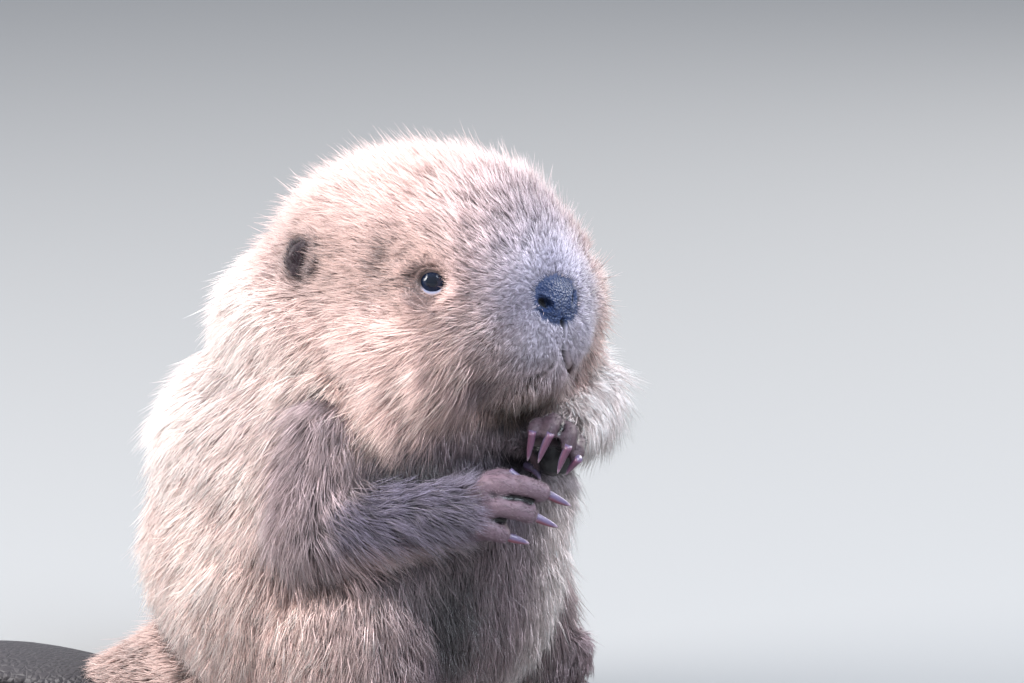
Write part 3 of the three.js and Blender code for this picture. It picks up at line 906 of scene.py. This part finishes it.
def bundle(roots, size):
    """For each root the number of the root that leads its lock."""
    leaders = random.choice(len(roots), int(len(roots) / size), replace=False)
    tree = KDTree(len(leaders))
    for leader in leaders.tolist():
        tree.insert(roots[leader], leader)
    tree.balance()
    return np.array([tree.find(root)[1] for root in roots.tolist()])


def turned(vectors, axes, angles):
    """Vectors turned about unit axes at right angles to them."""
    return vectors * np.cos(angles)[:, None] + np.cross(axes, vectors) * np.sin(angles)[:, None]


def over_eyes(places):
    """True for places in front of the opening of an eye."""
    hiding = np.zeros(len(places), dtype=bool)
    for side in SIDES:
        away = places - EYES[side]
        ahead = away @ eye_axis(side)
        aside = np.linalg.norm(away - np.outer(ahead, eye_axis(side)), axis=1)
        hiding |= (aside < OPENING) & (ahead > 0.0) & (ahead < 2.5 * EYE_RADIUS)
    return hiding


def room_for_hair():
    """1 where hairs can root, and 0 on the floor, on bare skin and by an eye."""
    height = points[:, 2]
    resting = (height < 1.0) | ((height < 6.0) & (normals[:, 2] < -0.6))
    room = ~resting * (1.0 - pad) * (1.0 - palm) * (nostril_reach(points) > 1.3) * (lip_line(points) < 0.3)
    for eye in EYES.values():
        room = room * (distance(points, eye) > EYE_RADIUS + 1.0)
    return room


def combed(flow, facing, roots, leader):
    """The way each hair lies along the skin, straying by itself and with its lock."""
    flow = unit(flow - facing * np.einsum("ij,ij->i", flow, facing)[:, None])
    sway = sum(turn * ripple(roots, size, seed) for turn, size, seed in SWAYS)
    own = random.normal(0.0, YAW_SPREAD, len(roots))
    own = own + random.normal(0.0, LOCK_YAW_SPREAD, len(roots))[leader]
    return turned(flow, facing, np.radians(sway + own))


def risen(lift, roots, leader):
    """How far each hair stands up, in radians."""
    own = random.normal(0.0, RISE_SPREAD, len(roots))
    rise = lift * (1.0 + RISE_WAVE * ripple(roots, 15.0, 13) + own)
    rise = rise + random.normal(0.0, LOCK_RISE_SPREAD, len(roots))[leader]
    return np.radians(np.clip(rise, *RISE_RANGE))


def with_guards(length, rise, leader):
    """Uneven lengths, and among them guard hairs that are longer and stand up more."""
    length = length * np.clip(random.normal(1.0, LENGTH_SPREAD, len(length)), *LENGTH_RANGE)
    length *= 1.0 + LOCK_LENGTH_SPREAD * random.normal(0.0, 1.0, len(length))[leader]
    guard = (random.random(len(length)) < GUARD_SHARE) & (length > GUARD_FROM)
    length[guard] = np.minimum(length[guard] * GUARD_LENGTH, LONGEST)
    rise[guard] += GUARD_LIFT
    return length, rise


def bent(roots, flow, facing, rise, length, lock, leader):
    """Where the ring and the tip of each hair are, drawn towards those of its lock's leader."""
    def leaning(angle, reach):
        return (flow * np.cos(angle)[:, None] + facing * np.sin(angle)[:, None]) * reach[:, None]

    knee = roots + leaning(rise + KNEE_RISE, length * BEND)
    tip = knee + leaning(rise + TIP_RISE, length * (1.0 - BEND))
    pull = np.clip(random.normal(1.0, PULL_SPREAD, len(roots)), 0.0, 1.4) * lock
    knee += (knee[leader] - knee) * (KNEE_PULL * pull)[:, None]
    tip += (tip[leader] - tip) * pull[:, None]
    return knee, tip


def out_of_the_way(roots, knee, tip):
    """True for hairs that cover no lip, nose or eye."""
    kept = (lip_line(tip) < 0.2) & (lip_line(knee) < 0.2) & (nose_pad(tip) < 0.6)
    for t in np.linspace(0.25, 1.0, 4):
        kept &= ~over_eyes(mix(roots, knee, t)) & ~over_eyes(mix(knee, tip, t))
    return kept


def spindles(roots, knee, tip, facing, width):
    """The five points of every hair."""
    side = unit(np.cross(unit(tip - roots), facing))
    top = np.cross(side, unit(tip - roots))
    half = (width * 0.5)[:, None]
    spots = np.stack([roots - facing * ROOT_DEPTH, knee + side * half, knee - side * half,
                      knee + top * half * 0.9, tip], axis=1)
    spots[:, :, 2] = np.maximum(spots[:, :, 2], FLOOR_GAP)
    return spots


def hair_shades(tint, length, lock, lock_glow):
    """The colours of a hair's five points, from a dark root to a silvery tip."""
    glow = np.clip(random.normal(1.0, GLOW_SPREAD, len(tint)), *GLOW_RANGE)
    glow *= 1.0 + (0.05 + 0.90 * lock ** 2) * lock_glow
    glow[random.random(len(tint)) < DULL_SHARE] *= DULL
    tint = tint * glow[:, None]
    light = tint.mean(axis=1)
    dim = step(2.0, 9.0, length) * (1.0 - 0.5 * step(0.50, 0.72, light))
    deep = mix(tint, UNDERFUR * tint ** 1.5, dim[:, None])
    knee = mix(deep, tint, 0.38)
    silver = mix(*SILVER, step(0.20, 0.45, light))[:, None]
    shades = np.stack([ROOT_SHADE * deep, knee, knee, knee, silver * tint], axis=1)
    return np.clip(shades, 0.0, PALEST)


def grow_coat():
    """Points, colours, roots and home nodes of all hairs, five points to a hair."""
    _, length, width, lift, crowd, lock = fields[:, :6].T
    corners, share = scatter(np.maximum(crowd, 0.0) * room_for_hair(), STRANDS)
    roots, facing = carried(points, corners, share), unit(carried(normals, corners, share))
    length, width, lift, lock = carried(np.stack([length, width, lift, lock], axis=1), corners, share).T
    leader = bundle(roots, LOCK)
    flow = combed(carried(fields[:, 6:9], corners, share), facing, roots, leader)
    length, rise = with_guards(length, risen(lift, roots, leader), leader)
    knee, tip = bent(roots, flow, facing, rise, length, lock, leader)
    kept = out_of_the_way(roots, knee, tip)
    lock_glow = random.normal(0.0, 1.0, len(roots))[leader][kept]
    spots = spindles(roots[kept], knee[kept], tip[kept], facing[kept], width[kept])
    shades = hair_shades(carried(tones, corners, share)[kept], length[kept], lock[kept], lock_glow)
    return spots, shades, roots[kept], owner[corners[kept, 0]]


def unwrap(roots):
    """Roots laid out flat by their turn and height round the middle of what they cover."""
    away = unit(roots - roots.mean(axis=0))
    flat = np.column_stack([np.arctan2(away[:, 0], -away[:, 1]) / math.pi, away[:, 2]])
    low, high = flat.min(axis=0), flat.max(axis=0)
    return 0.01 + 0.98 * (flat - low) / (high - low)


def coat_piece(name, spots, shades, roots, material):
    """Some of the hairs as one mesh with its map."""
    sides = (HAIR_FACES[None] + np.arange(len(spots))[:, None, None] * 5).reshape(-1, 3)
    piece = mesh_of(name, spots.reshape(-1, 3), sides, material)
    paint(piece, "tone", shades.reshape(-1, 3))
    layer = piece.data.uv_layers.new(name="OFBake")
    patches = unwrap(roots)[:, None, None] + hair_map()[None] * PATCH
    layer.data.foreach_set("uv", patches.astype(np.float32).ravel())
    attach(piece, "root")


# Which nodes' hairs go into one coat; a coat too large for one piece is split round the body.
COATS = {
    "coat_head": ("head", "nose", "eye", "ear"),
    "coat_body": ("neck", "trunk", "tail_base", "tail_paddle"),
    "coat_limbs": ("upper_arm", "forearm", "hand", "thigh", "shank", "foot"),
}

spots, shades, roots, home = grow_coat()
fur = coat_material()
for name, members in COATS.items():
    mine = np.flatnonzero(np.isin(KINDS[home], members))
    around = np.arctan2(roots[mine, 0], roots[mine, 1])
    mine = mine[np.argsort(around, kind="stable")]
    parts = int(math.ceil(len(mine) / PIECE_STRANDS))
    for number, chosen in enumerate(np.array_split(mine, parts)):
        coat_piece(f"{name}_{number + 1}", spots[chosen], shades[chosen], roots[chosen], fur)


# -------------------- bars: claws and whiskers

def closed_tube(rings, sides):
    """The faces of rings of points joined into a tube, whose ends are the last two points."""
    first, last, end = rings * sides, rings * sides + 1, (rings - 1) * sides
    faces = []
    for k in range(sides):
        n = (k + 1) % sides
        faces += [(first, n, k), (last, end + k, end + n)]
        for a in range(0, end, sides):
            b = a + sides
            faces += [(a + k, a + n, b + n), (a + k, b + n, b + k)]
    return np.array(faces)


def bar(spine, widths, heights, lean, sides):
    """A closed bar along a spine, oval in section; lean is roughly the way its back faces."""
    along = unit(np.gradient(spine, axis=0))
    across = unit(np.cross(along, lean))
    top = np.cross(across, along)
    turn = np.linspace(0.0, 2.0 * math.pi, sides, endpoint=False)
    ring = (across[:, None] * (np.cos(turn)[:, None] * widths[:, None, None])
            - top[:, None] * (np.sin(turn)[:, None] * heights[:, None, None]))
    spots = np.concatenate([(spine[:, None] + ring).reshape(-1, 3), spine[:1], spine[-1:]])
    return spots, closed_tube(len(spine), sides)


HORN = colour("#594e68")
QUICK = colour("#72343a")
PALE_HORN = colour("#a58e99")
CLAW_RINGS, CLAW_SIDES = 12, 12
CLAW_ROOT = 1.8  # how far a claw goes into the finger
STRAIGHT = 0.15  # a claw that bulges less than this from its chord is straight
CLAW_STEPS = np.linspace(0.0, 1.0, CLAW_RINGS)


def claw_spine(name, limb_name):
    """A curve fitted through the CAD solid of a claw, from inside the limb to the tip."""
    solid, _ = arrays_of(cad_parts[name].data)
    solid = np.unique(np.round(solid, 3), axis=0)
    centre = solid.mean(axis=0)
    place = (solid - centre) @ np.linalg.svd(solid - centre)[2][0]
    limb, _ = arrays_of(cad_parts[limb_name].data)
    ends = [solid[place < np.quantile(place, 0.25)], solid[place > np.quantile(place, 0.75)]]
    gaps = [np.linalg.norm(limb[:, None] - end[None], axis=2).min(axis=0).mean() for end in ends]
    if gaps[0] > gaps[1]:
        place = -place
    bend = np.polynomial.polynomial.polyfit(place, solid, 2)
    along = mix(place.min() - CLAW_ROOT, place.max(), CLAW_STEPS)
    return np.stack([np.polynomial.polynomial.polyval(along, bend[:, k]) for k in range(3)], axis=1)


def claw(name, limb_name, material, root_radius):
    """A curved claw along its CAD solid: a pale tip, and reddish on its underside."""
    spine = claw_spine(name, limb_name)
    chord = spine[-1] - spine[0]
    bulge = spine[CLAW_RINGS // 2] - (spine[0] + spine[-1]) / 2.0
    curled = limb_name == "hand_left" and np.linalg.norm(bulge) > STRAIGHT
    back = bulge if curled else UP
    back = unit(back - chord * (back @ chord) / (chord @ chord))
    radius = root_radius * (1.0 - CLAW_STEPS ** 2.2) ** 0.75 + 0.12
    spots, sides = bar(spine, radius * 0.82, radius, np.tile(back, (CLAW_RINGS, 1)), CLAW_SIDES)
    piece = mesh_of(name + "_horn", spots, sides, material)
    along_share = np.concatenate([np.repeat(CLAW_STEPS, CLAW_SIDES), [0.0, 1.0]])
    middle_line = np.concatenate([np.repeat(spine, CLAW_SIDES, axis=0), spine[:1], spine[-1:]])
    under = step(-0.1, 0.5, -((spots - middle_line) @ back) / root_radius)
    red = 0.45 if curled else 0.80
    tint = mix(np.tile(HORN, (len(spots), 1)), QUICK, (red * under)[:, None])
    tint = mix(tint, PALE_HORN, 0.8 * step(0.8, 1.0, along_share)[:, None])
    paint(piece, "tone", tint)
    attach(piece, "root")
    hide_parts(name)


FRONT_RADIUS, HIND_RADIUS = 1.55, 2.0  # of the claws at their roots
horn = claw_material()
for side in SIDES:
    for number in range(1, 6):
        claw(f"front_claw_{side}_{number}", f"hand_{side}", horn, FRONT_RADIUS)
        claw(f"hind_claw_{side}_{number}", f"foot_{side}", horn, HIND_RADIUS)


ROWS, COLUMNS = 4, 4  # of whiskers on each pad
WHISKER_RINGS, WHISKER_SIDES, WHISKER_RADIUS, WHISKER_ROOT = 9, 5, 0.10, 0.8
PALE_WHISKER, DARK_WHISKER = colour("#b9aca6"), colour("#3a2d29")


def whiskers(side, material):
    """Thin stiff hairs that fan back and out from the pad beside the nose."""
    turn = 1.0 if side == "left" else -1.0
    tree = BVHTree.FromPolygons(points.tolist(), faces.tolist())
    t = np.linspace(0.0, 1.0, WHISKER_RINGS)[:, None]
    radius = WHISKER_RADIUS * (1.0 - 0.75 * t[:, 0])
    bars, tints = [], []
    for number in range(ROWS * COLUMNS):
        row, column = divmod(number, COLUMNS)
        aim = on_head(turn * (13.0 + 3.0 * column), -60.0 + 4.5 * column, -3.0 - 5.0 * row)
        root, facing = (np.array(found) for found in tree.find_nearest(aim)[:2])
        way = unit(turn * 0.8 * EYE_LINE + 0.35 * BACK + (0.35 - 0.28 * row) * UP + 0.5 * facing)
        length = 8.0 + 3.0 * column + random.uniform(-2.0, 5.0)
        droop = 0.25 * BACK - (0.18 + 0.05 * row) * UP + random.normal(0.0, 0.06, 3)
        spine = root + (way * t + droop * t * t) * length - facing * WHISKER_ROOT
        lean = np.tile(unit(np.cross(way, BACK)), (WHISKER_RINGS, 1))
        bars.append(bar(spine, radius, radius, lean, WHISKER_SIDES))
        tints.append(PALE_WHISKER if random.random() < 0.2 else DARK_WHISKER)
    piece = mesh_of(f"whiskers_{side}", *joined(bars), material)
    paint(piece, "tone", np.repeat(tints, len(bars[0][0]), axis=0))
    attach(piece, "root")


for side in SIDES:
    whiskers(side, fur)


# -------------------- eyes

# Painted reflection: the dark eye and iris made blue as the sky mirrored in them.
EYE_DARK, IRIS = colour("#0c111b"), colour("#1a263d")
IRIS_AT, IRIS_SOFT = 30.0, 9.0  # where the ring of the iris is, in degrees from the axis
CORNEA, CORNEA_WIDTH = 0.035, 30.0  # how far it stands out, as a share, and how wide it is
EYE_RINGS, EYE_SIDES = 27, 40


def eyeball(side, material):
    """A wet dark ball with a cornea that stands out a little over a slate-blue iris; the blue of ball and
    iris is painted reflection of the sky.
    """
    axis = eye_axis(side)
    along = unit(np.cross(UP, axis))
    across = np.cross(axis, along)
    polar = np.linspace(0.0, math.pi, EYE_RINGS + 2)[1:-1]
    turn = np.linspace(0.0, 2.0 * math.pi, EYE_SIDES, endpoint=False)
    radius = EYE_RADIUS * (1.0 + CORNEA * np.exp(-((np.degrees(polar) / CORNEA_WIDTH) ** 2)))
    ring = np.cos(turn)[:, None] * along + np.sin(turn)[:, None] * across
    ahead = (np.cos(polar) * radius)[:, None, None] * axis
    spots = (ahead + (np.sin(polar) * radius)[:, None, None] * ring[None]).reshape(-1, 3)
    spots = np.concatenate([spots, [axis * EYE_RADIUS * (1.0 + CORNEA)], [-axis * EYE_RADIUS]])
    faces = closed_tube(EYE_RINGS, EYE_SIDES)[:, ::-1]
    piece = mesh_of(f"eyeball_{side}", EYES[side] + spots, faces, material)
    angle = np.degrees(np.arccos(np.clip(unit(spots) @ axis, -1.0, 1.0)))
    iris = np.exp(-(((angle - IRIS_AT) / IRIS_SOFT) ** 2))
    paint(piece, "tone", mix(np.tile(EYE_DARK, (len(spots), 1)), IRIS, iris[:, None]))
    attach(piece, "root")
    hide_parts(f"eye_{side}")


gloss = eye_material()
for side in SIDES:
    eyeball(side, gloss)


# -------------------- camera, floor and light

AIM = np.array([0.0310, -0.0911, 0.1439])  # metres
AZIMUTH, ELEVATION, DISTANCE = -55.0, 10.0, 2.05
LENS = 200.0


def outlook(azimuth, elevation):
    """The direction from the model to something seen at these angles."""
    a, e = math.radians(azimuth), math.radians(elevation)
    return np.array([math.sin(a) * math.cos(e), -math.cos(a) * math.cos(e), math.sin(e)])


def looking(thing, place, target):
    """Puts a camera or a light at a place, turned to the target."""
    thing.location = Vector(place)
    thing.rotation_euler = (Vector(target) - Vector(place)).to_track_quat("-Z", "Y").to_euler()
    bpy.context.scene.collection.objects.link(thing)


def softbox(name, azimuth, elevation, distance, size, power, tint):
    """A round area light that shines at the model."""
    light = bpy.data.lights.new(name, "AREA")
    light.shape = "DISK"
    light.size = size
    light.energy = power
    light.color = tint
    looking(bpy.data.objects.new(name, light), AIM + outlook(azimuth, elevation) * distance, AIM)


camera = bpy.data.objects.new("camera", bpy.data.cameras.new("camera"))
camera.data.lens = LENS
camera.data.clip_end = 50.0
looking(camera, AIM + outlook(AZIMUTH, ELEVATION) * DISTANCE, AIM)
bpy.context.scene.camera = camera

softbox("sky", AZIMUTH + 100.0, 72.0, 2.2, 2.2, 12.0, (0.97, 0.98, 1.0))
softbox("low_sun", AZIMUTH + 135.0, 26.0, 2.2, 1.0, 44.0, (1.0, 0.97, 0.93))
softbox("window", AZIMUTH - 82.0, 24.0, 2.4, 1.8, 200.0, (1.0, 0.98, 0.96))
softbox("sparkle", AZIMUTH + 38.0, 48.0, 2.0, 1.1, 76.0, (0.80, 0.89, 1.0))

world = bpy.data.worlds.new("studio")
world.use_nodes = True
backdrop = world.node_tree.nodes["Background"].inputs
backdrop["Color"].default_value = (0.80, 0.87, 1.0, 1.0)
backdrop["Strength"].default_value = 0.82
bpy.context.scene.world = world
bpy.context.scene.view_settings.view_transform = "Standard"

FLOOR_HALF = 12000.0
corners = np.array([(-1, -1, 0), (1, -1, 0), (1, 1, 0), (-1, 1, 0)]) * FLOOR_HALF
paper = Nodes("floor_paper", Roughness=0.9, Base_Color=(0.20, 0.20, 0.20, 1.0))
floor = mesh_of("floor", corners, np.array([(0, 1, 2, 3)]), paper.material, smooth=False)
